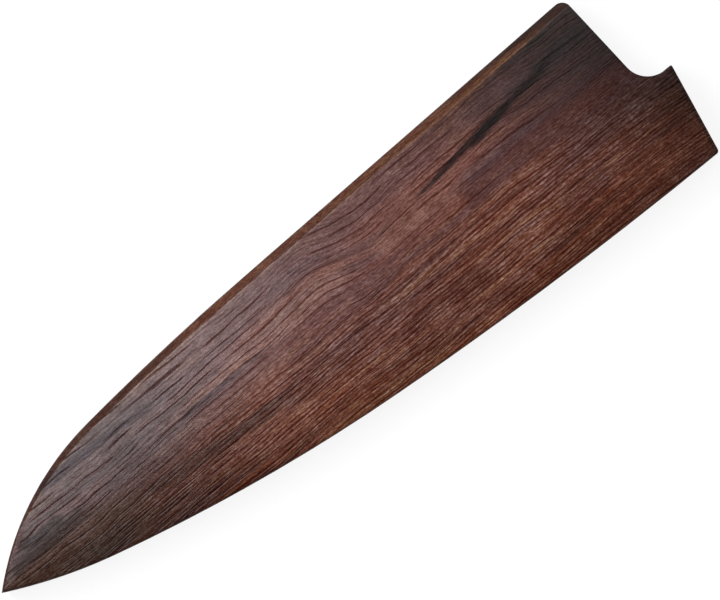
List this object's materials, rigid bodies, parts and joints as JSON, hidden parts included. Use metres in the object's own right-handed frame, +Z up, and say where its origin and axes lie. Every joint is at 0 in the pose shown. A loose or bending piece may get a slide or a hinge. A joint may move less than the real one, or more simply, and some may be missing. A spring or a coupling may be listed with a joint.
{
  "type": "knife blade guard",
  "caption": "Laminated wooden sheath for a chef's knife blade, with a stepped open mouth, a bevelled spine and hidden magnets that hold the blade in its slot.",
  "frame": {"origin": "centre of the underside, under the middle of the sheath's box as it lies on its back panel", "axes": "+X from the tip towards the mouth, +Y towards the spine side, +Z up out of the front panel"},
  "size_m": [0.22, 0.0564, 0.012],
  "materials": {
    "panel_wood": "oiled satin",
    "spacer_wood": "oiled satin",
    "cover_wood": "sanded",
    "magnet_plating": "nickel plated"
  },
  "bodies": {
    "root": {"front_panel": "panel_wood", "back_panel": "panel_wood", "spine_spacer": "spacer_wood", "edge_spacer": "spacer_wood", "front_magnet_1": "magnet_plating", "front_magnet_cover_1": "cover_wood", "front_magnet_2": "magnet_plating", "front_magnet_cover_2": "cover_wood", "front_magnet_3": "magnet_plating", "front_magnet_cover_3": "cover_wood", "back_magnet_1": "magnet_plating", "back_magnet_cover_1": "cover_wood", "back_magnet_2": "magnet_plating", "back_magnet_cover_2": "cover_wood", "back_magnet_3": "magnet_plating", "back_magnet_cover_3": "cover_wood"}
  },
  "joints": []
}
